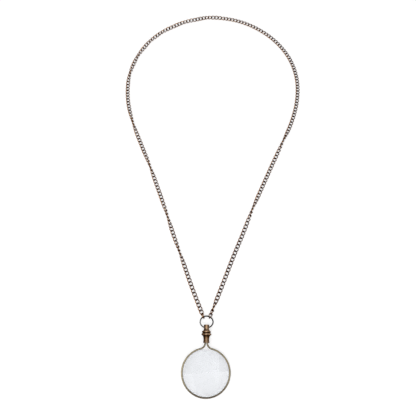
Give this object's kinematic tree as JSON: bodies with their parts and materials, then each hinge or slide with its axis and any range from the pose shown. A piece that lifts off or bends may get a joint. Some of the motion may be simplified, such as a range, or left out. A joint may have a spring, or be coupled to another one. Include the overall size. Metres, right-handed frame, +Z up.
{
  "type": "magnifier pendant necklace",
  "caption": "Necklace lying flat: an endless curb link chain hooked on a jump ring, which passes through a turned cap that carries a double convex magnifying lens in a round wire frame.",
  "frame": {"origin": "middle of the whole necklace's outline as it lies, on the table", "axes": "+Y from the lens towards the nape end of the loop, +X to the right seen from above, +Z up from the table"},
  "size_m": [0.1731, 0.3832, 0.0084],
  "materials": {
    "chain_copper": "darkened copper, rubbed on the bends",
    "dark_wire": "dark gunmetal wire, satin",
    "antique_bronze": "antique bronze, dark in the grooves and tan where rubbed",
    "frame_wire": "olive bronze wire, satin",
    "lens_glass": "polished"
  },
  "bodies": {
    "root": {"chain_left": "chain_copper", "chain_right": "chain_copper", "jump_ring": "dark_wire", "cap": "antique_bronze", "lens_frame": "frame_wire", "lens": "lens_glass"}
  },
  "joints": []
}
